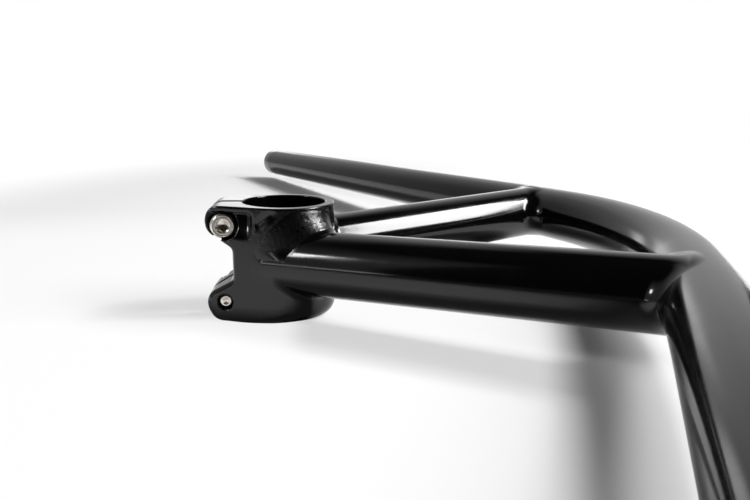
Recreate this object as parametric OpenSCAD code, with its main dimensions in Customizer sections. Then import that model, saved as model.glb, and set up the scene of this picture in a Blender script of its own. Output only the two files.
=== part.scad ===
// Integrated handlebar and stem: a split steerer clamp, two stem tubes in a V,
// and a swept handlebar, all welded into one rigid part, with two pinch bolts.
// +X points forward, +Y to the rider's left, +Z up along the steerer axis.
// The origin is the centre of the clamp's lower face. Millimetres.

/* [Steerer clamp] */
// Diameter of the steerer tube that the clamp grips
steerer_d = 28.6; // [25.4:0.1:34]
// Outer diameter of the clamp
clamp_d = 35; // [33:0.5:42]
// Height of the clamp
clamp_height = 40; // [36:0.5:50]
// Width of the clamp's slot
slot_w = 2.2; // [1:0.1:3.5]
// Angle by which each flank of the clamp tapers towards the ears
flank_angle = 20; // [14:0.5:24]

/* [Pinch ears] */
// Distance from the steerer axis to the pinch bolts
bolt_back = 20; // [19:0.1:24]
// Distance from each end of the clamp to its pinch bolt
bolt_inset = 6.8; // [6.2:0.1:9]
// Distance from the steerer axis to the tip of the ears
ear_back = 26.6; // [26:0.1:32]
// Radius of the ears seen from the side
ear_r = 5.6; // [5:0.1:7]
// Slope of each ear's inner edge
ear_slope = 31; // [20:1:40]

/* [Pinch bolts] */
// Thread diameter of the pinch bolts
bolt_d = 5; // [4:0.5:6]
// Head diameter of the pinch bolts
bolt_head_d = 8.5; // [7:0.1:10]
// Head height of the pinch bolts
bolt_head_h = 5; // [4:0.1:6]
// Shank length of the pinch bolts
bolt_length = 16; // [14:0.5:18]
// Distance from the middle of the clamp to the tip of each pinch bolt
bolt_tip = 10; // [9:0.1:10.5]
// Hexagon key size of the pinch bolts
bolt_key = 4; // [3:0.5:5]

/* [Stem tubes] */
// Outer diameter of the stem tubes
stem_tube_d = 22; // [19:0.1:25.4]
// Wall thickness of the stem tubes
stem_wall = 1.5; // [0.9:0.1:3]
// Sideways distance of each tube's axis from the middle, beside the steerer axis
stem_start_y = 8; // [6:0.1:10]
// Height of each tube's axis beside the steerer axis
stem_start_z = 20.3; // [18:0.1:22]
// Sideways distance from the middle to the place where a tube's axis meets the bar
stem_end_y = 70.3; // [60:0.1:85]

/* [Handlebar] */
// Outer diameter of the handlebar
bar_d = 22.2; // [19:0.1:25.4]
// Wall thickness of the handlebar
bar_wall = 1.6; // [1:0.1:3]
// Overall width of the handlebar
bar_width = 800; // [640:1:900]
// Distance from the steerer axis forward to the middle of the bar
bar_reach = 130; // [115:0.5:150]
// Height of the bar's axis at its middle
bar_height = 25.7; // [23:0.1:28]
// Radius of the front bend, at the bar's axis
front_bend_r = 143; // [120:1:165]
// Angle of the front bend on each side of the middle
front_bend_angle = 19.8; // [17:0.1:22]
// Radius of the slight shoulder bend, at the bar's axis
shoulder_bend_r = 860; // [600:5:1100]
// Drop of the bar's plane towards the grips
bar_tilt = 3.5; // [0:0.1:4]

/* [Welds] */
// Leg length of the weld beads
weld_leg = 2; // [1:0.1:3]

/* [Hidden] */
round_steps = 96;
$fn = round_steps;

PAINT = [0.03, 0.03, 0.035];
STEEL = [0.78, 0.75, 0.7];
RIGHT = -1;
LEFT = 1;
past = 1;

clamp_r = clamp_d / 2;
steerer_r = steerer_d / 2;
ear_chamfer = 1.5;
flank_inset = 0.05;
ear_half_w = (clamp_r - ear_back * sin(flank_angle)) / cos(flank_angle);
ear_mid_x = ear_r - ear_back;
back_wall_x = -clamp_r + 0.5;
ear_side_x = ear_mid_x - ear_r * sin(ear_slope);
ear_side_z = ear_r + ear_r * cos(ear_slope);
ear_root_z = ear_side_z + (back_wall_x - ear_side_x) * tan(ear_slope);

bolt_r = bolt_d / 2;
clearance = 0.25;
head_gap = 0.75;
head_seat_y = bolt_length - bolt_tip;
counterbore_r = bolt_head_d / 2 + head_gap;
socket_depth = 2.5;
edge_chamfer = 0.5;

// The shoulder bend turns the bar by the small angle of this right triangle
shoulder_cos = 0.99712;
shoulder_sin = 0.07584;
shoulder_bend_angle = atan2(shoulder_sin, shoulder_cos);

bar_r = bar_d / 2;
bar_angle = front_bend_angle + shoulder_bend_angle;
bend_end = front_bend_r * [cos(front_bend_angle) - 1, sin(front_bend_angle)];
shoulder_mid = bend_end - shoulder_bend_r * [cos(front_bend_angle), sin(front_bend_angle)];
grip_start = shoulder_mid + shoulder_bend_r * [cos(bar_angle), sin(bar_angle)];
grip_end_y = bar_width / 2 - bar_r * sin(bar_angle);
grip_length = (grip_end_y - grip_start[1]) / cos(bar_angle);
over_angle = 4;
bend_steps = 1440;

// Where a stem tube's axis meets the bar's axis, in the shoulder bend, from the bar's middle
meet_angle = asin((stem_end_y - shoulder_mid[1]) / shoulder_bend_r);
meet_x = shoulder_mid[0] + shoulder_bend_r * cos(meet_angle);
stem_end = [
    bar_reach + meet_x * cos(bar_tilt), stem_end_y, bar_height + meet_x * sin(bar_tilt)
];
stem_start = [0, stem_start_y, stem_start_z];
stem_run = stem_end - stem_start;
stem_length = norm(stem_run);
stem_yaw = atan2(stem_run[1], stem_run[0]);
stem_rise = asin(stem_run[2] / stem_length);
stem_r = stem_tube_d / 2;
stem_back = 7;

// Flanks that taper from the round clamp to the tips of the ears
module clamp_flanks() {
    flank = (clamp_r - flank_inset) * [-sin(flank_angle), cos(flank_angle)];
    chamfer_w = ear_half_w + ear_chamfer * tan(flank_angle);
    linear_extrude(clamp_height)
        polygon([
            flank, [ear_chamfer - ear_back, chamfer_w],
            [-ear_back, ear_half_w - ear_chamfer], [-ear_back, ear_chamfer - ear_half_w],
            [ear_chamfer - ear_back, -chamfer_w], [flank[0], -flank[1]]
        ]);
}

// Blank of the lower ear, as wide as the clamp: a rounded nose and a sloping inner edge
module ear_blank() {
    translate([ear_mid_x, clamp_r, ear_r]) rotate([90, 0, 0]) cylinder(r = ear_r, h = clamp_d);
    translate([0, clamp_r, 0])
        rotate([90, 0, 0])
            linear_extrude(clamp_d)
                polygon([
                    [0, 0], [ear_mid_x, 0], [ear_side_x, ear_side_z],
                    [back_wall_x, ear_root_z], [0, ear_root_z]
                ]);
}

// The clamp without its bore, slot and bolt holes
module clamp_block() {
    intersection() {
        union() {
            cylinder(r = clamp_r, h = clamp_height);
            clamp_flanks();
        }
        union() {
            translate([back_wall_x, -clamp_d, 0]) cube([2 * clamp_d, 2 * clamp_d, clamp_height]);
            ear_blank();
            translate([0, 0, clamp_height]) mirror([0, 0, 1]) ear_blank();
        }
    }
}

// Hole for a pinch bolt along Y, with its counterbore on the -Y side
module bolt_hole() {
    rotate([-90, 0, 0]) {
        translate([0, 0, -clamp_d]) cylinder(r = counterbore_r, h = clamp_d - head_seat_y);
        translate([0, 0, -clamp_d]) cylinder(r = bolt_r + clearance, h = clamp_d);
        cylinder(r = bolt_r, h = clamp_d);
    }
}

// Puts a bolt or its hole at the upper bolt's place
module upper_bolt_place() {
    translate([-bolt_back, 0, clamp_height - bolt_inset]) children();
}

// Puts a bolt or its hole at the lower bolt's place, entering from the other side
module lower_bolt_place() {
    translate([-bolt_back, 0, bolt_inset]) mirror([0, 1, 0]) children();
}

module steerer_clamp() {
    color(PAINT)
        difference() {
            clamp_block();
            translate([0, 0, -past]) cylinder(r = steerer_r, h = clamp_height + 2 * past);
            translate([-2 * clamp_d, -slot_w / 2, -past])
                cube([2 * clamp_d, slot_w, clamp_height + 2 * past]);
            upper_bolt_place() bolt_hole();
            lower_bolt_place() bolt_hole();
        }
}

// A socket-head pinch bolt along Y, with its head on the -Y side
module pinch_bolt() {
    head_r = bolt_head_d / 2;
    color(STEEL)
        translate([0, -head_seat_y, 0])
            rotate([-90, 0, 0])
                difference() {
                    rotate_extrude()
                        polygon([
                            [0, -bolt_head_h], [head_r - edge_chamfer, -bolt_head_h],
                            [head_r, edge_chamfer - bolt_head_h], [head_r, 0], [bolt_r, 0],
                            [bolt_r, bolt_length - edge_chamfer],
                            [bolt_r - edge_chamfer, bolt_length], [0, bolt_length]
                        ]);
                    translate([0, 0, -bolt_head_h - past])
                        cylinder(d = bolt_key / cos(30), h = socket_depth + past, $fn = 6);
                }
}

// Solid rod along the axis of a stem tube
module stem_rod(side, r, back) {
    translate([stem_start[0], side * stem_start[1], stem_start[2]])
        rotate([0, 0, side * stem_yaw])
            rotate([0, 90 - stem_rise, 0])
                translate([0, 0, -back]) cylinder(r = r, h = stem_length + back);
}

// Bend of a rod that leaves the origin along +Y and turns towards -X
module bend(bend_r, r, angle) {
    translate([-bend_r, 0, 0])
        rotate_extrude(angle = angle, $fn = bend_steps) translate([bend_r, 0]) circle(r, $fn = round_steps);
}

// Puts a piece of the bar at the end of the front bend, with +Y along the bar
module front_bend_end() {
    translate([bend_end[0], bend_end[1], 0]) rotate([0, 0, front_bend_angle]) children();
}

// Puts a piece of the bar at the end of the shoulder bend, seen from the front bend's end
module shoulder_bend_end() {
    translate([-shoulder_bend_r, 0, 0])
        rotate([0, 0, shoulder_bend_angle])
            translate([shoulder_bend_r, 0, 0]) children();
}

// Half of the bar as a solid rod, drawn flat with the bar's middle at the origin
module bar_half(r, beyond) {
    cut = 4 * bar_r;
    difference() {
        front_bend_end() mirror([0, 1, 0]) bend(front_bend_r, r, front_bend_angle + over_angle);
        translate([-front_bend_r, -front_bend_r, -cut])
            cube([2 * front_bend_r, front_bend_r, 2 * cut]);
    }
    front_bend_end() {
        difference() {
            bend(shoulder_bend_r, r, shoulder_bend_angle + over_angle);
            shoulder_bend_end() translate([-2 * cut, 0, -cut]) cube([3 * cut, 3 * cut, 2 * cut]);
        }
        shoulder_bend_end() rotate([-90, 0, 0]) cylinder(r = r, h = grip_length + beyond);
    }
}

// The whole bar as a solid rod, in its place
module bar_rod(r, beyond = 0) {
    translate([bar_reach, 0, bar_height])
        rotate([0, -bar_tilt, 0])
            for (side = [0, 1])
                mirror([0, side, 0]) bar_half(r, beyond);
}

// A stem tube, coped to the clamp at the back and to the bar at the front
module stem_tube(side) {
    color(PAINT)
        difference() {
            stem_rod(side, stem_r, stem_back);
            stem_rod(side, stem_r - stem_wall, stem_back + past);
            clamp_block();
            bar_rod(bar_r);
        }
}

module right_stem_tube() {
    stem_tube(RIGHT);
}

module left_stem_tube() {
    stem_tube(LEFT);
}

module handlebar() {
    color(PAINT)
        difference() {
            bar_rod(bar_r);
            bar_rod(bar_r - bar_wall, past);
        }
}

// Weld bead around the end of a stem tube, where it meets the clamp
module clamp_weld(side) {
    color(PAINT)
        difference() {
            intersection() {
                stem_rod(side, stem_r + weld_leg, 0);
                cylinder(r = clamp_r + weld_leg, h = clamp_height);
            }
            stem_rod(side, stem_r, past);
            clamp_block();
        }
}

module right_clamp_weld() {
    clamp_weld(RIGHT);
}

module left_clamp_weld() {
    clamp_weld(LEFT);
}

// Weld bead around the end of a stem tube, where it meets the bar
module bar_weld(side) {
    color(PAINT)
        difference() {
            intersection() {
                stem_rod(side, stem_r + weld_leg, 0);
                bar_rod(bar_r + weld_leg);
            }
            stem_rod(side, stem_r, past);
            bar_rod(bar_r);
        }
}

module right_bar_weld() {
    bar_weld(RIGHT);
}

module left_bar_weld() {
    bar_weld(LEFT);
}

module upper_pinch_bolt() {
    upper_bolt_place() pinch_bolt();
}

module lower_pinch_bolt() {
    lower_bolt_place() pinch_bolt();
}

steerer_clamp();
right_stem_tube();
left_stem_tube();
handlebar();
right_clamp_weld();
left_clamp_weld();
right_bar_weld();
left_bar_weld();
upper_pinch_bolt();
lower_pinch_bolt();
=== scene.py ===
import math

import bpy
import numpy as np
from mathutils import Matrix, Vector


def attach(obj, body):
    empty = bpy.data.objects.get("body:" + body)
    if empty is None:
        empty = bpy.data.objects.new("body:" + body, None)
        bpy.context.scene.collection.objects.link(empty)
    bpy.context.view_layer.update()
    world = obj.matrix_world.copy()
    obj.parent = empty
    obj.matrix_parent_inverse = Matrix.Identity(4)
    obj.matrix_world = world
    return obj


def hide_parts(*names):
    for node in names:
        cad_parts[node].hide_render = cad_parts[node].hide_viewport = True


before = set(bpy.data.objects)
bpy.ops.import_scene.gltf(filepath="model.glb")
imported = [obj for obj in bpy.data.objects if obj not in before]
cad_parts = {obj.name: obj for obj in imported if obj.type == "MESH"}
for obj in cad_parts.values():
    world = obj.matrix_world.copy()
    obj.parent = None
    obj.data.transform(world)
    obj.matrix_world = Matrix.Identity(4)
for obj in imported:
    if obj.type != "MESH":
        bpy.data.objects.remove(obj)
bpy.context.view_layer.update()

# Sizes, in millimetres
MM = 0.001
CLAMP_R = 17.5
BORE_R = 14.3
CLAMP_TALL = 40.0
SLOT_W = 2.2
FLANK = math.radians(20)
EAR_R = 5.6
EAR_SLOPE = math.radians(31)
EAR_MID_X = -21.0
BACK_WALL_X = -17.0
BOLT_X = -20.0
BOLT_INSET = 6.8
BOLT_R = 2.5
HEAD_R = 4.25
HEAD_SEAT_Y = -6.0
HEAD_FACE_Y = -11.0
BOLT_TIP_Y = 10.0
COUNTERBORE_R = HEAD_R + 0.75
HOLE_R = BOLT_R + 0.25
TUBE_R = 11.0
STEM_START = np.array([0.0, 8.0, 20.3])
STEM_END = np.array([113.370, 70.3, 24.683])
BAR_R = 11.1
BAR_BORE_R = BAR_R - 1.6
BAR_MID = np.array([130.0, 0.0, 25.7])
BAR_TILT = math.radians(3.5)
FRONT_R = 143.0
FRONT_ANGLE = math.radians(19.8)
SHOULDER_R = 860.0
SHOULDER_ANGLE = math.atan2(0.07584, 0.99712)
GRIP_LENGTH = 313.97

# Along a stem tube, where the clamp's casting gives over to the plain tube
CAST_END = 36.0
# Back along a stem tube from the bar's axis, where the bar joint begins
JOINT_BACK = 25.0
# Along the bar, each way from the middle of a bar joint
JOINT_HALF = 23.0

STEM_RUN = STEM_END - STEM_START
STEM_LENGTH = float(np.linalg.norm(STEM_RUN))
STEM_AXIS = STEM_RUN / STEM_LENGTH
BAR_ANGLE = FRONT_ANGLE + SHOULDER_ANGLE
BEND_END = FRONT_R * np.array([math.cos(FRONT_ANGLE) - 1, math.sin(FRONT_ANGLE)])
SHOULDER_MID = BEND_END - SHOULDER_R * np.array([math.cos(FRONT_ANGLE), math.sin(FRONT_ANGLE)])
GRIP_START = SHOULDER_MID + SHOULDER_R * np.array([math.cos(BAR_ANGLE), math.sin(BAR_ANGLE)])


# Distances to the real surfaces
def fillet(a, b, lean, r):
    """Distance to two shapes joined by a round fillet. lean is the cosine between their surfaces."""
    u, v = r - a, r - b
    in_fillet = (u > 0) & (v > 0) & (v >= lean * u) & (u >= lean * v)
    reach = np.sqrt(np.maximum(u * u + v * v - 2 * lean * u * v, 0) / (1 - lean * lean))
    return np.where(in_fillet, r - reach, np.minimum(a, b))


def trim(a, b, r):
    """Distance to what is inside both a and b, with its edge rounded to radius r."""
    return np.minimum(-r, np.maximum(a, b)) + np.hypot(np.maximum(r + a, 0), np.maximum(r + b, 0))


CORNERS = np.array([[1, 1, 1], [1, -1, -1], [-1, 1, -1], [-1, -1, 1]], float)


def slope(field, p, step=0.03):
    """The direction in which field grows fastest, and how fast it grows."""
    g = sum(c * field(p + step * c)[:, None] for c in CORNERS) / (4 * step)
    size = np.linalg.norm(g, axis=1)
    return g / np.maximum(size, 1e-9)[:, None], size


def ramp(v, low, high):
    """0 below low, 1 above high, and a smooth step from one to the other."""
    t = np.clip((v - low) / (high - low), 0, 1)
    return t * t * (3 - 2 * t)


# The steepest and the shallowest meeting that a fillet can bridge, and how it widens towards the shallowest
LEAN_LOW, LEAN_HIGH = -0.9, 0.985
WIDER, WIDER_POWER = 5, 6


def blended(first, second, radius, reach):
    """The two fields joined by a fillet that widens where they meet at a shallow angle."""
    def field(p):
        a, b = first(p), second(p)
        d = np.minimum(a, b)
        near = (a < reach) & (b < reach) & (a > -reach) & (b > -reach)
        if near.any():
            q = p[near]
            lean = np.clip((slope(first, q)[0] * slope(second, q)[0]).sum(1), LEAN_LOW, LEAN_HIGH)
            wide = radius * (1 + WIDER * np.clip(lean, 0, 1) ** WIDER_POWER)
            d[near] = fillet(a[near], b[near], lean, wide)
        return d
    return field


# Where a stem tube begins to taper away, before its start and before its end, and how fast
CLAMP_TAPER_AT, BAR_TAPER_AT = 2, 4
CLAMP_TAPER, BAR_TAPER = 0.06, 0.15


def rod_field(side):
    """Distance to a stem tube's outside. Both ends taper away inside the clamp and the bar."""
    start, axis = STEM_START * [1, side, 1], STEM_AXIS * [1, side, 1]

    def field(p):
        q = p - start
        along = q @ axis
        away = np.sqrt(np.maximum((q * q).sum(1) - along ** 2, 0))
        in_clamp = np.maximum(-CLAMP_TAPER_AT - along, 0)
        in_bar = np.maximum(along - STEM_LENGTH + BAR_TAPER_AT, 0)
        return away - TUBE_R + CLAMP_TAPER * in_clamp ** 2 + BAR_TAPER * in_bar ** 2
    return field


def flank_field(p):
    """The clamp seen from above: a round front and two flanks that taper to the ears."""
    x, y = p[:, 0], np.abs(p[:, 1])
    s, c = math.sin(FLANK), math.cos(FLANK)
    return np.where(-c * x - s * y > 0, c * y - s * x, np.hypot(x, y)) - CLAMP_R


def ear_field(x, z):
    """The lower ear seen from the side: a round nose, a flat bottom and a sloping top."""
    x, z = x - EAR_MID_X, z - EAR_R
    s, c, half = math.sin(EAR_SLOPE), math.cos(EAR_SLOPE), EAR_SLOPE / 2
    nose = np.hypot(x, z)
    top = np.where(c * x + s * z > 0, c * z - s * x, nose)
    bottom = np.where(x > 0, -z, nose)
    return np.where(z * math.cos(half) > x * math.sin(half), top, bottom) - EAR_R


EAR_FILLET = 2.6
RIM_EDGE, EAR_EDGE, LOW_FRONT_EDGE = 0.5, 1.8, 4.8


def side_field(p):
    """The clamp seen from the side, with its two ears and the gap between them."""
    x, z = p[:, 0], p[:, 2]
    ears = np.minimum(ear_field(x, z), ear_field(x, CLAMP_TALL - z))
    profile = fillet(BACK_WALL_X - x, ears, math.sin(EAR_SLOPE), EAR_FILLET)
    return np.maximum(profile, np.abs(z - CLAMP_TALL / 2) - CLAMP_TALL / 2)


def block_field(p):
    """The clamp without its holes. Its edges are softest at the ears and at the lower front."""
    x, z = p[:, 0], p[:, 2]
    low_front = ramp(x, -15, 5) * ramp(-z, -26, -14)
    from_end = CLAMP_TALL / 2 - np.abs(z - CLAMP_TALL / 2)
    ears = ramp(-x, 14, 18) * ramp(from_end, 0.3, 3)
    edge = RIM_EDGE + (LOW_FRONT_EDGE - RIM_EDGE) * low_front + (EAR_EDGE - RIM_EDGE) * ears
    return trim(flank_field(p), side_field(p), edge)


SCOOP_R, SCOOP_Y, SCOOP_Z, SCOOP_TOP = 13.4, -22.1, 38.96, 37.8
SCOOP_X, SCOOP_SLANT = (-30.0, -10.0), 0.32
# The scoops stay outside this distance from the steerer's axis
BORE_WALL = 15.5
LIP_EDGE, SCOOP_END_EDGE, WALL_EDGE, POCKET_EDGE = 0.7, 1.8, 1.0, 1.3
HOLE_EDGE, BORE_EDGE, SLOT_EDGE = 0.35, 0.4, 0.4
# The slot's inner end, within the bore
SLOT_END_X = -8.0


def hole_fields(p):
    """The bolt hole that enters from the -Y side at the top, and the scoop in the flank round its head."""
    x, y, z = p.T
    away = np.hypot(x - BOLT_X, z - (CLAMP_TALL - BOLT_INSET))
    bore = np.minimum(away - HOLE_R, np.maximum(away - COUNTERBORE_R, y - HEAD_SEAT_Y))
    scoop = np.hypot(y - SCOOP_Y + SCOOP_SLANT * (x - BOLT_X), z - SCOOP_Z) - SCOOP_R
    ends = np.maximum(x - SCOOP_X[1], SCOOP_X[0] - x)
    scoop = trim(trim(scoop, z - SCOOP_TOP, LIP_EDGE), ends, SCOOP_END_EDGE)
    return bore, trim(scoop, BORE_WALL - np.hypot(x, y), WALL_EDGE)


def turned(p):
    """The same point seen from the other bolt's side."""
    return p * [1, -1, -1] + [0, 0, CLAMP_TALL]


CROTCH_R, CROTCH_REACH = 4.0, 9.0
ROOT_R, ROOT_REACH = 3.2, 12.0
tubes = blended(rod_field(-1), rod_field(1), CROTCH_R, CROTCH_REACH)
clamp_and_tubes = blended(block_field, tubes, ROOT_R, ROOT_REACH)
# How far the weld climbs the clamp's wall, at each height
WELD_HEIGHTS = (23.0, 25.0, 28.5, 32.0, 35.4, 38.0, 40.0)
WELD_CLIMB = (0.3, 1.2, 2.6, 4.5, 6.5, 8.0, 8.4)
# How far it runs out along the tube at the back, and how much further towards the front
WELD_TOE, WELD_TOE_MORE = 3.0, 2.6
# The share of its climb that it loses towards the front
WELD_DROP = 0.12
# The weld's section: 1 is a flat chamfer, 2 a round fillet
WELD_HOLLOW = 1.16
WELD_FAR = 9.0


def weld_field(p):
    """The hand-dressed weld over the tubes' tops, which meets the clamp's wall in a visible edge."""
    climb = np.interp(p[:, 2], WELD_HEIGHTS, WELD_CLIMB)
    a, b = block_field(p), tubes(p)
    toe = WELD_TOE + WELD_TOE_MORE * ramp(p[:, 0], -6, 4) * ramp(p[:, 2], 26, 33)
    climb = climb * (1 - WELD_DROP * ramp(p[:, 0], 2, 14))
    u, v = np.maximum(1 - a / toe, 0), np.maximum(1 - b / climb, 0)
    web = (1 - (u ** WELD_HOLLOW + v ** WELD_HOLLOW) ** (1 / WELD_HOLLOW)) * (toe + climb) / 2
    return np.where((p[:, 2] > WELD_HEIGHTS[0]) & (u > 0) & (v > 0), web, WELD_FAR)


DENT = np.array([[-8.0, 15.8, 34.6], [-3.8, 17.1, 37.8]])
DENT_DEPTH, DENT_WIDE = 0.45, 1.5


def dent_depth(p):
    """A shallow hand-dressed hollow in each flank, between the scoop and the weld."""
    q = p * [1, 0, 1] + [0, 1, 0] * np.abs(p) - DENT[0]
    run = DENT[1] - DENT[0]
    share = np.clip(q @ run / (run @ run), 0, 1)
    away = np.linalg.norm(q - share[:, None] * run, axis=1)
    # It fades out just under the clamp's top face
    return DENT_DEPTH * np.exp(-(away / DENT_WIDE) ** 2) * ramp(-p[:, 2], -39.8, -38.5)


def casting_field(p):
    """Distance to the clamp and its welds, with every hole, the scoops and the slot taken away."""
    d = np.minimum(clamp_and_tubes(p), weld_field(p)) + dent_depth(p)
    for q in (p, turned(p)):
        bore, pocket = hole_fields(q)
        d = trim(d, -pocket, POCKET_EDGE)
        d = trim(d, -bore, HOLE_EDGE)
    d = trim(d, BORE_R - np.hypot(p[:, 0], p[:, 1]), BORE_EDGE)
    slot = np.maximum(np.abs(p[:, 1]) - SLOT_W / 2, p[:, 0] - SLOT_END_X)
    return trim(d, -slot, SLOT_EDGE)


def flat_bar(p):
    """Points seen in the bar's own flat frame, folded to one side: forward, outward, up."""
    q = p - BAR_MID
    c, s = math.cos(BAR_TILT), math.sin(BAR_TILT)
    return q[:, 0] * c + q[:, 2] * s, np.abs(q[:, 1]), q[:, 2] * c - q[:, 0] * s


def bar_field(p):
    """Distance to the bar's outside, along its front bend, shoulder bend and grip."""
    u, v, w = flat_bar(p)
    front = np.hypot(u + FRONT_R, v) - FRONT_R
    turn = np.arctan2(v - SHOULDER_MID[1], u - SHOULDER_MID[0])
    shoulder = np.hypot(u - SHOULDER_MID[0], v - SHOULDER_MID[1]) - SHOULDER_R
    grip = (u - GRIP_START[0]) * math.cos(BAR_ANGLE) + (v - GRIP_START[1]) * math.sin(BAR_ANGLE)
    sideways = np.where(turn < FRONT_ANGLE, front, np.where(turn < BAR_ANGLE, shoulder, grip))
    return np.hypot(sideways, w) - BAR_R


JOINT_FILLET, JOINT_REACH = 6.0, 14.0
right_joint_field = blended(bar_field, rod_field(-1), JOINT_FILLET, JOINT_REACH)
left_joint_field = blended(bar_field, rod_field(1), JOINT_FILLET, JOINT_REACH)


# Modelling helpers
def let_go():
    bpy.ops.object.select_all(action="DESELECT")


def take(obj):
    """Makes obj the one that operators act on."""
    if bpy.context.object is not None and bpy.context.object.mode != "OBJECT":
        bpy.ops.object.mode_set(mode="OBJECT")
    let_go()
    obj.select_set(True)
    bpy.context.view_layer.objects.active = obj
    return obj


def named(name):
    """Names the object that was just made."""
    obj = bpy.context.object
    obj.name = obj.data.name = name
    return obj


def points_of(obj):
    co = np.empty(len(obj.data.vertices) * 3)
    obj.data.vertices.foreach_get("co", co)
    return co.reshape(-1, 3)


def set_points(obj, points):
    obj.data.vertices.foreach_set("co", np.asarray(points, float).ravel())
    obj.data.update()


def settle_place(obj):
    """Puts the object's place into its mesh."""
    take(obj)
    bpy.ops.object.transform_apply(location=True, rotation=True, scale=True)
    return obj


def rod(name, r, start, end, steps=64):
    """A cylinder between two points, in millimetres."""
    start, end = Vector(start) * MM, Vector(end) * MM
    run = end - start
    let_go()
    bpy.ops.mesh.primitive_cylinder_add(
        vertices=steps, radius=r * MM, depth=run.length, location=(start + end) / 2,
        rotation=run.to_track_quat("Z", "Y").to_euler())
    return settle_place(named(name))


def block(name, low, high):
    """A box between two corners, in millimetres."""
    low, high = Vector(low) * MM, Vector(high) * MM
    let_go()
    bpy.ops.mesh.primitive_cube_add(size=1, location=(low + high) / 2, scale=high - low)
    return settle_place(named(name))


def everything():
    """Enters edit mode with all of the mesh selected."""
    bpy.ops.object.mode_set(mode="EDIT")
    bpy.ops.mesh.select_mode(type="VERT")
    bpy.ops.mesh.select_all(action="SELECT")


def pick(obj, test):
    """Enters edit mode with only the vertices that pass the test selected. The test gets millimetres."""
    take(obj)
    everything()
    bpy.ops.mesh.select_all(action="DESELECT")
    done()
    for vertex in obj.data.vertices:
        vertex.select = bool(test(vertex.co / MM))
    bpy.ops.object.mode_set(mode="EDIT")


def done():
    bpy.ops.object.mode_set(mode="OBJECT")


def put_together(obj, other, operation):
    """Joins other to obj, or cuts it out of obj, and removes it."""
    take(obj)
    tool = obj.modifiers.new("shape", "BOOLEAN")
    tool.solver, tool.operation, tool.object = "MANIFOLD", operation, other
    bpy.ops.object.modifier_apply(modifier=tool.name)
    bpy.data.objects.remove(other)
    return obj


def remesh(obj, grain):
    """Gives the whole surface an even skin, so that it can be drawn onto a field."""
    take(obj)
    tool = obj.modifiers.new("even skin", "REMESH")
    tool.mode, tool.voxel_size, tool.adaptivity = "VOXEL", grain * MM, 0
    bpy.ops.object.modifier_apply(modifier=tool.name)
    return obj


# How far a point may be drawn at once, in millimetres: at first, while the points spread, and last
FIRST_PULL, SPREAD_PULL, LAST_PULL = 1.2, 0.5, 0.2
FIRST_ROUNDS, SPREAD_ROUNDS = 4, 5
# How much of the way to its neighbours' middle a point spreads, and the least slope that a pull divides by
SPREAD, LEAST_SLOPE = 0.6, 0.3


def smooth_onto(obj, field):
    """Draws the even skin onto the true surface, spreading its points evenly as it goes."""
    p = points_of(obj) / MM
    edges = np.empty(len(obj.data.edges) * 2, np.int64)
    obj.data.edges.foreach_get("vertices", edges)
    a, b = edges.reshape(-1, 2).T
    count = np.bincount(a, minlength=len(p)) + np.bincount(b, minlength=len(p))

    def pull(p, limit):
        n, size = slope(field, p)
        move = np.clip(field(p) / np.maximum(size, LEAST_SLOPE), -limit, limit)
        return p - move[:, None] * n, n

    for k in range(FIRST_ROUNDS):
        p, n = pull(p, FIRST_PULL)
    for k in range(SPREAD_ROUNDS):
        total = [np.bincount(a, p[b, i], len(p)) + np.bincount(b, p[a, i], len(p)) for i in range(3)]
        shift = np.stack(total, 1) / count[:, None] - p
        shift -= (shift * n).sum(1)[:, None] * n
        p, n = pull(p + SPREAD * shift, SPREAD_PULL)
    p, n = pull(p, LAST_PULL)
    set_points(obj, p * MM)
    return obj


def face_out(obj, field):
    """Gives each corner the true surface's own direction, so that reflections run smooth."""
    take(obj)
    bpy.ops.object.shade_smooth()
    n, _ = slope(field, points_of(obj) / MM, 0.01)
    obj.data.normals_split_custom_set_from_vertices([tuple(v) for v in n])


def cut_off(obj, at, direction):
    """Removes what lies beyond a plane, and closes the cut."""
    take(obj)
    everything()
    bpy.ops.mesh.bisect(
        plane_co=Vector(at) * MM, plane_no=Vector(direction), use_fill=True, clear_outer=True)
    done()


def other_side(obj, name):
    """A copy with its own mesh, mirrored to the rider's left."""
    take(obj)
    bpy.ops.object.duplicate()
    copy = named(name)
    set_points(copy, points_of(copy) * [1, -1, 1])
    everything()
    bpy.ops.mesh.flip_normals()
    done()
    return copy


def smooth_by_angle(obj, degrees=30):
    take(obj)
    bpy.ops.object.shade_smooth_by_angle(angle=math.radians(degrees))


# The clamp's casting
CAST_GRAIN, JOINT_GRAIN = 0.5, 0.45
# How far the blank's cutting tools reach past its ends, to its sides and to its back
CLEAR, BESIDE, BEHIND = 5.0, 30.0, -40.0
# A vertex this near to a face of a block belongs to it
NEAR = 0.1


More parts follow.
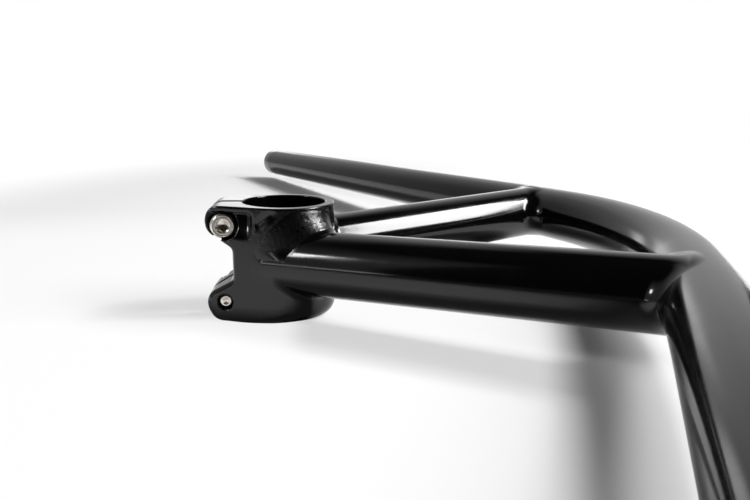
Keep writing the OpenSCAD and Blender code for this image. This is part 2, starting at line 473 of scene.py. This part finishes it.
def make_blank():
    """The clamp's round body with its tapering back, and the gap between the ears."""
    casting = rod("clamp_casting", CLAMP_R, (0, 0, 0), (0, 0, CLAMP_TALL), 96)
    back_x, front_x = EAR_MID_X - EAR_R, -CLAMP_R * math.sin(FLANK)
    wide = CLAMP_R * math.cos(FLANK)
    back = block("ears", (back_x, -wide, 0), (front_x, wide, CLAMP_TALL))
    tip = (CLAMP_R - abs(back_x) * math.sin(FLANK)) / math.cos(FLANK)
    pick(back, lambda v: v.x < back_x + NEAR)
    bpy.ops.transform.resize(value=(1, tip / wide, 1))
    done()
    put_together(casting, back, "UNION")
    # The gap opens towards the back
    slope_run = BACK_WALL_X - EAR_MID_X + EAR_R * math.sin(EAR_SLOPE)
    root = EAR_R * (1 + math.cos(EAR_SLOPE)) + slope_run * math.tan(EAR_SLOPE)
    deep = 12.0
    gap = block("gap", (BACK_WALL_X - deep, -BESIDE, root), (BACK_WALL_X, BESIDE, CLAMP_TALL - root))
    pick(gap, lambda v: v.x < BACK_WALL_X - deep + NEAR)
    half = CLAMP_TALL / 2 - root
    bpy.ops.transform.resize(value=(1, 1, (half + deep * math.tan(EAR_SLOPE)) / half))
    done()
    return put_together(casting, gap, "DIFFERENCE")


def make_scoop(side):
    """What the scoop beside one bolt's head takes away. side is 1 for the upper bolt, -1 for the lower."""
    past, far, middle = 8.0, 60.0, CLAMP_TALL / 2
    y, z, lip = side * SCOOP_Y, middle + side * (SCOOP_Z - middle), middle + side * (SCOOP_TOP - middle)
    ends = [(x, y - side * SCOOP_SLANT * (x - BOLT_X), z) for x in (SCOOP_X[0] - past, SCOOP_X[1] + past)]
    scoop = rod("scoop", SCOOP_R, *ends, 96)
    low, high = sorted((lip, lip - far * side))
    put_together(scoop, block("lip", (SCOOP_X[0], -far, low), (SCOOP_X[1], far, high)), "INTERSECT")
    wall = rod("wall", BORE_WALL, (0, 0, -BESIDE), (0, 0, CLAMP_TALL + BESIDE), 96)
    return put_together(scoop, wall, "DIFFERENCE")


def make_casting():
    """The clamp, its welds and the first stretch of both stem tubes, as one skin."""
    casting = make_blank()
    # The blank's tubes start short of their axes' crossing, and are a shade thin, so that the skin can grow
    tube_back, tube_past, thin = 4.0, 3.0, 0.1
    for side in (-1, 1):
        start, axis = STEM_START * [1, side, 1], STEM_AXIS * [1, side, 1]
        ends = start - tube_back * axis, start + (CAST_END + tube_past) * axis
        tube = rod("tube", TUBE_R - thin, *ends, 48)
        put_together(casting, tube, "UNION")
    put_together(casting, rod("bore", BORE_R, (0, 0, -CLEAR), (0, 0, CLAMP_TALL + CLEAR), 96), "DIFFERENCE")
    slot = block("slot", (BEHIND, -SLOT_W / 2, -CLEAR), (SLOT_END_X, SLOT_W / 2, CLAMP_TALL + CLEAR))
    put_together(casting, slot, "DIFFERENCE")
    for side, z in ((1, CLAMP_TALL - BOLT_INSET), (-1, BOLT_INSET)):
        hole = rod("hole", HOLE_R, (BOLT_X, -BESIDE, z), (BOLT_X, BESIDE, z), 32)
        put_together(casting, hole, "DIFFERENCE")
        seat = (BOLT_X, HEAD_SEAT_Y * side, z)
        counterbore = rod("counterbore", COUNTERBORE_R, (BOLT_X, -BESIDE * side, z), seat, 48)
        put_together(casting, counterbore, "DIFFERENCE")
        put_together(casting, make_scoop(side), "DIFFERENCE")
    remesh(casting, CAST_GRAIN)
    smooth_onto(casting, casting_field)
    for side in (-1, 1):
        start, axis = STEM_START * [1, side, 1], STEM_AXIS * [1, side, 1]
        cut_off(casting, start + CAST_END * axis, axis)
    face_out(casting, casting_field)
    return casting


# The joints of tube and bar
def on_bar(turn):
    """A point on the shoulder bend's axis and the bar's direction there, on the right-hand side."""
    u = SHOULDER_MID[0] + SHOULDER_R * math.cos(turn)
    v = SHOULDER_MID[1] + SHOULDER_R * math.sin(turn)
    c, s = math.cos(BAR_TILT), math.sin(BAR_TILT)
    return (BAR_MID + [u * c, -v, u * s],
            np.array([-math.sin(turn) * c, -math.cos(turn), -math.sin(turn) * s]))


MEET_TURN = math.asin((STEM_END[1] - SHOULDER_MID[1]) / SHOULDER_R)
JOINT_TURN = JOINT_HALF / SHOULDER_R


def make_bar_joint():
    """A stretch of the bar with the end of a stem tube and the fillet between them, on both sides."""
    start, axis = STEM_START * [1, -1, 1], STEM_AXIS * [1, -1, 1]
    bar_past = 2.0 / SHOULDER_R
    ends = [on_bar(MEET_TURN + side * (JOINT_TURN + bar_past))[0] for side in (-1, 1)]
    joint = rod("right_bar_joint", BAR_R, ends[0], ends[1], 64)
    past, thin = 3.0, 0.05
    tube_start = start + (STEM_LENGTH - JOINT_BACK - past) * axis
    put_together(joint, rod("tube", TUBE_R - thin, tube_start, start + STEM_LENGTH * axis, 64), "UNION")
    remesh(joint, JOINT_GRAIN)
    smooth_onto(joint, right_joint_field)
    cut_off(joint, start + (STEM_LENGTH - JOINT_BACK) * axis, -axis)
    for side in (-1, 1):
        at, along = on_bar(MEET_TURN + side * JOINT_TURN)
        cut_off(joint, at, side * along)
    face_out(joint, right_joint_field)
    left = other_side(joint, "left_bar_joint")
    face_out(left, left_joint_field)
    return joint, left


# Plain tubes and the bar
def make_stem_tube():
    """The plain run of a stem tube between its casting and its bar joint, on both sides."""
    start, axis = STEM_START * [1, -1, 1], STEM_AXIS * [1, -1, 1]
    ends = start + CAST_END * axis, start + (STEM_LENGTH - JOINT_BACK) * axis
    tube = rod("right_stem_tube_run", TUBE_R, *ends, 128)
    smooth_by_angle(tube)
    return tube, other_side(tube, "left_stem_tube_run")


def ring(name, r, at, along, steps=128):
    """A circle of edges round an axis, in millimetres."""
    let_go()
    facing = Vector(along).to_track_quat("Z", "Y").to_euler()
    bpy.ops.mesh.primitive_circle_add(
        vertices=steps, radius=r * MM, location=Vector(at) * MM, rotation=facing)
    return settle_place(named(name))


BAR_NORMAL = Vector((-math.sin(BAR_TILT), 0, math.cos(BAR_TILT)))


def bar_point(u, v):
    """A place in the bar's flat frame, in Blender's own units."""
    return Vector(BAR_MID + [u * math.cos(BAR_TILT), v, u * math.sin(BAR_TILT)]) * MM


def swing(u, v, angle, steps):
    """Extends the selected ring round a centre in the bar's plane."""
    bpy.ops.mesh.spin(steps=steps, angle=-angle, center=bar_point(u, v), axis=BAR_NORMAL, dupli=False)


# In metres. Points nearer than the first are one point, and what is thinner than the second is a sliver
SAME_POINT, SLIVER = 1e-6, 2e-6


def close_up(obj):
    """Merges doubles, and points the faces outwards."""
    take(obj)
    everything()
    bpy.ops.mesh.remove_doubles(threshold=SAME_POINT)
    bpy.ops.mesh.normals_make_consistent(inside=False)
    done()


def sweep_up(obj):
    """Removes the slivers that cuts leave behind."""
    take(obj)
    everything()
    bpy.ops.mesh.remove_doubles(threshold=SLIVER)
    bpy.ops.mesh.dissolve_degenerate(threshold=SLIVER)
    bpy.ops.mesh.delete_loose(use_verts=True, use_edges=True, use_faces=False)
    done()


FRONT_STEPS, SHOULDER_STEPS, GRIP_STEPS = 72, 8, 24
# The grip's open end: a rounded lip, and how deep its bore goes
LIP, BORE_LIP, GRIP_BORE = 0.4, 0.2, 60.0


def make_front_bar():
    """The bar between its two joints: the front bend with a little of each shoulder bend."""
    at, along = on_bar(MEET_TURN - JOINT_TURN)
    bar = ring("front_bar", BAR_R, at, along)
    to_bend = MEET_TURN - JOINT_TURN - FRONT_ANGLE
    everything()
    bpy.ops.mesh.edge_face_add()
    swing(SHOULDER_MID[0], -SHOULDER_MID[1], to_bend, SHOULDER_STEPS)
    swing(-FRONT_R, 0, 2 * FRONT_ANGLE, FRONT_STEPS)
    swing(SHOULDER_MID[0], SHOULDER_MID[1], to_bend, SHOULDER_STEPS)
    done()
    close_up(bar)
    smooth_by_angle(bar)
    return bar


def make_grip_run():
    """The rest of the shoulder bend, and the straight grip with its open end."""
    at, along = on_bar(MEET_TURN + JOINT_TURN)
    grip = ring("right_grip_run", BAR_R, at, along)
    everything()
    swing(SHOULDER_MID[0], -SHOULDER_MID[1], -(BAR_ANGLE - MEET_TURN - JOINT_TURN), SHOULDER_STEPS)
    straight = Vector(on_bar(BAR_ANGLE)[1])
    begin = bar_point(GRIP_START[0], -GRIP_START[1])
    rings = [((GRIP_LENGTH - LIP) / GRIP_STEPS, BAR_R)] * GRIP_STEPS
    rings += [(LIP * 0.3, BAR_R - LIP * 0.1), (LIP * 0.4, BAR_R - LIP * 0.4), (LIP * 0.3, BAR_R - LIP)]
    rings += [(0.0, BAR_BORE_R + BORE_LIP), (-BORE_LIP, BAR_BORE_R), (-GRIP_BORE, BAR_BORE_R)]
    reach, r = 0.0, BAR_R
    for distance, new_r in rings:
        reach += distance
        bpy.ops.mesh.extrude_region_move(TRANSFORM_OT_translate={"value": straight * distance * MM})
        if new_r != r:
            bpy.ops.transform.resize(value=(new_r / r,) * 3, center_override=begin + straight * reach * MM)
        r = new_r
    bpy.ops.mesh.edge_face_add()
    done()
    # Closes the end that butts against the joint
    near, flat = Vector(at), 0.01
    pick(grip, lambda v: abs((v - near).dot(Vector(along))) < flat)
    bpy.ops.mesh.edge_face_add()
    done()
    close_up(grip)
    smooth_by_angle(grip)
    return grip, other_side(grip, "left_grip_run")


# Pinch bolts
def lathe(name, at, profile, steps=72):
    """A turned piece about an axis along Y: a ring drawn out along (y, radius) pairs, and closed."""
    x, z = at
    y0, r0 = profile[0]
    obj = ring(name, r0, (x, y0, z), (0, 1, 0), steps)
    everything()
    bpy.ops.mesh.edge_face_add()
    for (y1, r1), (y2, r2) in zip(profile, profile[1:]):
        bpy.ops.mesh.extrude_region_move(TRANSFORM_OT_translate={"value": (0, (y2 - y1) * MM, 0)})
        if r1 != r2:
            centre = (x * MM, y2 * MM, z * MM)
            bpy.ops.transform.resize(value=(r2 / r1, 1, r2 / r1), center_override=centre)
    done()
    close_up(obj)
    return obj


THREAD_PITCH, THREAD_DEPTH = 0.8, 0.32
THREAD_FIRST_Y, THREAD_LAST_Y = -3.0, BOLT_TIP_Y - 0.9
ROWS_A_PITCH = 8
SOCKET_ACROSS, SOCKET_DEEP = 4.0, 2.5


def cut_thread(bolt, z):
    """Draws the shank in along a screw line, so that the thread's ridge runs round it."""
    p = points_of(bolt) / MM
    x, y, up = p[:, 0] - BOLT_X, p[:, 1], p[:, 2] - z
    away = np.hypot(x, up)
    phase = (y / THREAD_PITCH + np.arctan2(up, x) / (2 * math.pi)) % 1
    run_in = np.clip((y - THREAD_FIRST_Y) / THREAD_PITCH, 0, 1)
    run_out = np.clip((THREAD_LAST_Y + 0.2 - y) / 0.4, 0, 1)
    valley = np.clip(1.15 * (1 - np.abs(2 * phase - 1)), 0, 1)
    cut = THREAD_DEPTH * run_in * run_out * valley
    on_shank = (y >= THREAD_FIRST_Y) & (y <= THREAD_LAST_Y) & (np.abs(away - BOLT_R) < 0.01)
    scale = np.where(on_shank, (away - cut) / np.maximum(away, 1e-6), 1)
    set_points(bolt, np.stack([BOLT_X + x * scale, y, z + up * scale], 1) * MM)


def make_bolts():
    """The upper screw, and the lower one, which is the same screw entered from the other side."""
    z = CLAMP_TALL - BOLT_INSET
    face, seat = HEAD_FACE_Y, HEAD_SEAT_Y
    # A ring groove round the socket, then the face, its chamfer, the head's side and its seat
    head = [(face + 0.16, 2.8), (face + 0.16, 3.05), (face + 0.5, 3.12), (face + 0.5, 3.34),
            (face + 0.03, 3.42), (face, 3.5), (face + 0.03, 3.6), (face + 0.14, 3.74),
            (face + 0.55, 4.1), (face + 0.72, 4.22), (face + 0.86, HEAD_R),
            (seat - 0.35, HEAD_R), (seat - 0.12, HEAD_R - 0.1), (seat, HEAD_R - 0.3),
            (seat, BOLT_R + 0.3), (seat + 0.3, BOLT_R)]
    length = THREAD_LAST_Y - THREAD_FIRST_Y
    rows = int(length / THREAD_PITCH * ROWS_A_PITCH)
    shank = [(THREAD_FIRST_Y + length * k / rows, BOLT_R) for k in range(rows + 1)]
    tip = [(BOLT_TIP_Y - 0.75, BOLT_R - 0.12), (BOLT_TIP_Y - 0.1, BOLT_R - 0.62),
           (BOLT_TIP_Y, BOLT_R - 0.8), (BOLT_TIP_Y - 0.02, 1.1), (BOLT_TIP_Y - 0.3, 0.5)]
    bolt = lathe("upper_pinch_screw", (BOLT_X, z), head + shank + tip)
    cut_thread(bolt, z)
    # The hexagon socket, with a drilled point at its bottom and a countersunk mouth
    corner = SOCKET_ACROSS / math.cos(math.radians(30)) / 2
    socket = rod("socket", corner, (BOLT_X, face - 1, z), (BOLT_X, face + SOCKET_DEEP, z), 6)
    put_together(bolt, socket, "DIFFERENCE")
    point = lathe("point", (BOLT_X, z), [(face + 2.0, 1.95), (face + 2.6, 1.9), (face + 3.4, 0.2)], 48)
    put_together(bolt, point, "DIFFERENCE")
    mouth = lathe("mouth", (BOLT_X, z), [(face - 0.1, 2.9), (face + 0.16, 2.55), (face + 0.55, 1.95)])
    put_together(bolt, mouth, "DIFFERENCE")
    sweep_up(bolt)
    smooth_by_angle(bolt, 28)
    take(bolt)
    bpy.ops.object.duplicate()
    lower = named("lower_pinch_screw")
    set_points(lower, turned(points_of(lower) / MM) * MM)
    return bolt, lower


# Materials
class Wire:
    """One value in a material's nodes, so that sums on it read as plain Python."""

    def __init__(self, paint, socket):
        self.paint, self.socket = paint, socket

    def _maths(self, operation, a, b):
        return self.paint.add("ShaderNodeMath", {"operation": operation}, {0: a, 1: b})

    def __add__(self, other):
        return self._maths("ADD", self, other)

    def __sub__(self, other):
        return self._maths("SUBTRACT", self, other)

    def __rsub__(self, other):
        return self._maths("SUBTRACT", other, self)

    def __mul__(self, other):
        return self._maths("MULTIPLY", self, other)

    def __truediv__(self, other):
        return self._maths("DIVIDE", self, other)

    def __pow__(self, other):
        return self._maths("POWER", self, other)

    __radd__, __rmul__ = __add__, __mul__

    def between(self, low, high):
        """0 below low, 1 above high, and a smooth step from one to the other."""
        return self.paint.add("ShaderNodeMapRange", {"interpolation_type": "SMOOTHSTEP"},
                              {"Value": self, "From Min": low, "From Max": high})


class Paint:
    """A material, with one way to add any node."""

    def __init__(self, name):
        self.material = bpy.data.materials.new(name)
        self.material.use_nodes = True
        self.tree = self.material.node_tree
        self.tree.nodes.clear()

    def add(self, kind, settings=None, inputs=None, out=0):
        node = self.tree.nodes.new(kind)
        for key, value in (settings or {}).items():
            setattr(node, key, value)
        for key, value in (inputs or {}).items():
            if isinstance(value, Wire):
                self.tree.links.new(value.socket, node.inputs[key])
            else:
                node.inputs[key].default_value = value
        return Wire(self, node.outputs[out]) if node.outputs else node

    def place(self, scale=(1, 1, 1), turn=(0, 0, 0)):
        at = self.add("ShaderNodeTexCoord", out="Object")
        return self.add("ShaderNodeMapping", {}, {"Vector": at, "Rotation": turn, "Scale": scale})

    def axes(self, unit=MM):
        """How far along X, Y and Z a place is, in that unit."""
        at = self.add("ShaderNodeTexCoord", out="Object")
        node = self.add("ShaderNodeSeparateXYZ", {}, {0: at}).socket.node
        return [Wire(self, out) / unit for out in node.outputs]

    def noise(self, size, detail=2.0, rough=0.5, at=None):
        return self.add("ShaderNodeTexNoise", {}, {
            "Vector": at or self.place(), "Scale": 1 / (size * MM), "Detail": detail, "Roughness": rough})

    def mix(self, share, first, second):
        return self.add("ShaderNodeMix", {"data_type": "RGBA"}, {0: share, 6: first, 7: second}, out=2)

    def ray_is(self, kind):
        return self.add("ShaderNodeLightPath", out=kind)

    def finish(self, shader):
        self.add("ShaderNodeOutputMaterial", {}, {"Surface": shader})
        return self.material


def grey(level):
    return (level, level, level, 1)


def specks(p, spacing=5.0):
    """A few round specks of dust, at most one to each cell of that size, in most cells none."""
    cells = p.add("ShaderNodeTexVoronoi", {"feature": "F1"}, {
        "Vector": p.place(), "Scale": 1 / (spacing * MM)})
    cell_at = Wire(p, cells.socket.node.outputs["Position"])
    lottery = p.add("ShaderNodeTexWhiteNoise", {"noise_dimensions": "3D"}, {0: cell_at})
    return (1 - cells.between(0.02, 0.045)) * lottery.between(0.87, 0.95)


def make_gloss_black():
    """Gloss black paint: nearly black, with a faint orange peel, hazy patches and a little dust."""
    p = Paint("gloss_black")
    peel, flow = p.noise(1.1, 1.0, 0.4), p.noise(9.0)
    hazy, fine = p.noise(14.0, 3.0, 0.6), p.noise(0.35, 1.0)
    dust = specks(p)
    colour = p.mix(dust, (0.0012, 0.0012, 0.0014, 1), (0.26, 0.25, 0.23, 1))
    # The welds at the clamp are brushed by hand, with short crossing scratches from the wall to the toe
    x, y, z = p.axes()
    away = (x * x + y * y) ** 0.5
    ring_round_clamp = away.between(17.0, 17.9) * (1 - away.between(20.8, 21.6))
    weld = ring_round_clamp * z.between(25.0, 28.0) * x.between(-14, -7)
    brushed = p.noise(0.30, 2.0, 0.6, at=p.place(scale=(1.0, 1.0, 0.12), turn=(0.5, 0.6, 0.3)))
    ripple = p.noise(1.3)
    roughness = 0.10 + 0.05 * hazy.between(0.4, 0.75) + 0.02 * fine + 0.3 * dust + 0.16 * weld
    height = weld * (brushed * 0.3 + ripple) + 0.046 * (peel * 0.5 + flow * 2.0)
    bump = p.add("ShaderNodeBump", {}, {"Strength": 0.7, "Distance": 0.00025, "Height": height})
    return p.finish(p.add("ShaderNodeBsdfPrincipled", {}, {
        "Base Color": colour, "Roughness": roughness, "IOR": 1.5, "Normal": bump}))


def make_stainless():
    """Stainless steel screws: rings left by turning, and patches of warmer, duller metal."""
    p = Paint("stainless")
    rings = p.noise(0.12, 2.0, 0.6, at=p.place(scale=(0.6, 6, 0.6)))
    patch = p.noise(2.2, at=p.place(scale=(1, 0.02, 1)))
    colour = p.mix(patch.between(0.35, 0.7), (0.90, 0.86, 0.80, 1), (0.66, 0.61, 0.54, 1))
    roughness = 0.13 + 0.12 * rings + 0.08 * patch
    bump = p.add("ShaderNodeBump", {}, {"Strength": 0.1, "Distance": 0.00002, "Height": rings})
    return p.finish(p.add("ShaderNodeBsdfPrincipled", {}, {
        "Base Color": colour, "Roughness": roughness, "Metallic": 1.0, "Normal": bump}))


# Building the object
gloss_black, stainless = make_gloss_black(), make_stainless()


def place_piece(obj, material, slot, *nodes):
    """Gives a piece its material, hangs it from the root body and hides the CAD nodes that it stands for.
    slot is not used.
    """
    obj.data.materials.clear()
    obj.data.materials.append(material)
    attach(obj, "root")
    if nodes:
        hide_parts(*nodes)


place_piece(make_casting(), gloss_black, "gloss_black",
            "steerer_clamp", "right_clamp_weld", "left_clamp_weld")
for piece, node in zip(make_bar_joint(), ("right_bar_weld", "left_bar_weld")):
    place_piece(piece, gloss_black, "gloss_black", node)
for piece, node in zip(make_stem_tube(), ("right_stem_tube", "left_stem_tube")):
    place_piece(piece, gloss_black, "gloss_black", node)
place_piece(make_front_bar(), gloss_black, "gloss_black", "handlebar")
for piece in make_grip_run():
    place_piece(piece, gloss_black, "gloss_black")
for piece, node in zip(make_bolts(), ("upper_pinch_bolt", "lower_pinch_bolt")):
    place_piece(piece, stainless, "stainless", node)


# Floor, backdrop, light and camera
FLOOR_R, BACKDROP_R, BACKDROP_TALL = 3.2, 3.4, 6.8
# The floor's own tone, and the almost black that is painted onto it in reflections as a painted shade
FLOOR_TONE, REFLECTED_SHADE_TONE = 0.70, 0.02
WHITE = (1, 1, 1, 1)


def make_floor():
    """A pale table. Towards the camera its half shadows and its far part are lifted to white. In the
    paint's reflections its part towards the camera is painted almost black, a painted shade.
    """
    let_go()
    bpy.ops.mesh.primitive_circle_add(vertices=96, radius=FLOOR_R, fill_type="NGON", location=(0, 0, 0))
    floor = named("floor")
    p = Paint("white_floor")
    x, y, _ = p.axes()
    stretched = p.place(scale=(1.2, 0.62, 1))
    far = p.add("ShaderNodeVectorMath", {"operation": "LENGTH"}, {0: stretched}, out=1).between(0.23, 0.42)
    # Half shadows are lifted most behind the clamp, and not at all in the bar's own shadow
    aside = p.add("ShaderNodeMath", {"operation": "ABSOLUTE"}, {0: y})
    past_shadow = (x + 0.49 * aside).between(124, 138) * aside.between(47, 70)
    beside_bar = (x + 0.33 * aside).between(93, 110) * (1 - 0.5 * past_shadow)
    behind_clamp = (1 - y.between(-14, -2)) * (1 - x.between(-2, 10))
    half = (0.6 + 0.25 * behind_clamp) * (1 - beside_bar) * (1 - y.between(110, 230))
    share = p.ray_is("Is Camera Ray") * (half + (1 - half) * far)
    # The table's front edge, as the gloss sees it
    # Painted shade: in the paint's reflections the floor towards the camera is painted almost black, though
    # it is lit there
    front = p.ray_is("Is Glossy Ray") * (1 - y.between(-170, -90)) * 0.9
    tone = p.mix(front, grey(FLOOR_TONE), grey(REFLECTED_SHADE_TONE))
    diffuse = p.add("ShaderNodeBsdfDiffuse", {}, {"Color": tone})
    white = p.add("ShaderNodeEmission", {}, {"Color": WHITE, "Strength": 1.0})
    floor.data.materials.append(
        p.finish(p.add("ShaderNodeMixShader", {}, {0: share, 1: diffuse, 2: white})))


def make_backdrop():
    """A tall curved sheet behind the object, brightest straight behind it and fading upwards."""
    let_go()
    below_floor = 0.02
    bpy.ops.mesh.primitive_circle_add(vertices=96, radius=BACKDROP_R, location=(0, 0, -below_floor))
    backdrop = named("backdrop")
    open_front, open_side = -0.62 * BACKDROP_R / MM, 0.75 * BACKDROP_R / MM
    pick(backdrop, lambda v: v.y < open_front or v.x > open_side)
    bpy.ops.mesh.delete(type="VERT")
    bpy.ops.mesh.select_all(action="SELECT")
    bpy.ops.mesh.extrude_region_move(TRANSFORM_OT_translate={"value": (0, 0, BACKDROP_TALL)})
    done()
    settle_place(backdrop)
    p = Paint("white_backdrop")
    side, _, up = p.axes(BACKDROP_R)
    level = (0.30 + 0.22 * side.between(-0.8, -0.3) + 0.4 * side.between(-0.3, 0.3)
             - 0.22 * side.between(0.45, 0.75))
    # It fades upwards sooner on the right of the middle than on the left
    right = side.between(-0.02, 0.24)
    fade = 1 - (right * up.between(0.2, 1.5) + (1 - right) * up.between(0.75, 2.0))
    # Two brighter patches low down, behind the clamp and behind the tubes
    patches = (1.6 * side.between(-0.24, -0.15) * (1 - side.between(-0.12, -0.02))
               + 0.9 * side.between(0.03, 0.13) * (1 - side.between(0.27, 0.42)))
    low = patches * (1 - up.between(0.16, 0.3))
    glow = (level * fade + low) * (1 - 0.5 * p.ray_is("Is Diffuse Ray"))
    seen = p.ray_is("Is Camera Ray")
    emission = p.add("ShaderNodeEmission", {}, {"Color": WHITE, "Strength": seen + (1 - seen) * glow})
    backdrop.data.materials.append(p.finish(emission))


# What the lamps point at, and are measured from
LIT_PLACE = Vector((0.04, 0, 0.02))


def soft_box(name, azimuth, elevation, distance, wide, tall, radiance, roll=0.0):
    """A softbox seen from the object at that azimuth, from +X towards +Y, and elevation, in degrees."""
    a, e = math.radians(azimuth), math.radians(elevation)
    towards = Vector((math.cos(a) * math.cos(e), math.sin(a) * math.cos(e), math.sin(e)))
    let_go()
    bpy.ops.object.light_add(type="AREA", location=towards * distance + LIT_PLACE)
    lamp = named(name)
    lamp.data.shape, lamp.data.size, lamp.data.size_y = "RECTANGLE", wide, tall
    lamp.data.energy = radiance * math.pi * wide * tall
    lamp.rotation_mode = "QUATERNION"
    rolled = Matrix.Rotation(math.radians(roll), 3, "Z").to_quaternion()
    lamp.rotation_quaternion = towards.to_track_quat("Z", "Y") @ rolled
    lamp.visible_camera = False


def make_light():
    soft_box("key_softbox", -10, 40, 1.5, 0.46, 1.12, 22, roll=-40)
    soft_box("key_core", 3, 43, 1.5, 0.20, 0.20, 90)
    soft_box("side_softbox", -161, 31, 1.6, 0.28, 0.30, 25)
    soft_box("low_strip", -150, -0.6, 0.9, 0.30, 0.05, 4.0)
    # The room is dim, and white where the camera sees it
    world = bpy.data.worlds.new("studio")
    bpy.context.scene.world = world
    world.use_nodes = True
    nodes, links = world.node_tree.nodes, world.node_tree.links
    level = nodes.new("ShaderNodeMapRange")
    level.inputs["To Min"].default_value, level.inputs["To Max"].default_value = 0.015, 1.0
    links.new(nodes.new("ShaderNodeLightPath").outputs["Is Camera Ray"], level.inputs["Value"])
    links.new(level.outputs["Result"], nodes["Background"].inputs["Strength"])
    nodes["Background"].inputs["Color"].default_value = WHITE


# Angles in radians, sensor and lens in millimetres
CAMERA_AT = Vector((13.73, -229.89, 75.54)) * MM
CAMERA_YAW, CAMERA_PITCH, CAMERA_ROLL = 0.0796, -0.22776, 0.01013
SENSOR, LENS = 36.0, 31.584


def make_camera():
    """The camera, at the place and angle fitted to the photograph's outlines."""
    level = math.cos(CAMERA_PITCH)
    ahead = Vector((math.sin(CAMERA_YAW) * level, math.cos(CAMERA_YAW) * level, math.sin(CAMERA_PITCH)))
    right = Vector((math.cos(CAMERA_YAW), -math.sin(CAMERA_YAW), 0))
    up = right.cross(ahead)
    c, s = math.cos(CAMERA_ROLL), math.sin(CAMERA_ROLL)
    right, up = c * right + s * up, c * up - s * right
    let_go()
    bpy.ops.object.camera_add()
    camera = named("camera")
    turn = Matrix((right, up, -ahead)).transposed()
    camera.matrix_world = Matrix.Translation(CAMERA_AT) @ turn.to_4x4()
    camera.data.sensor_width, camera.data.lens = SENSOR, LENS
    camera.data.clip_start, camera.data.clip_end = 0.005, 50
    bpy.context.scene.camera = camera


make_floor()
make_backdrop()
make_light()
make_camera()
bpy.context.scene.view_settings.view_transform = "Standard"
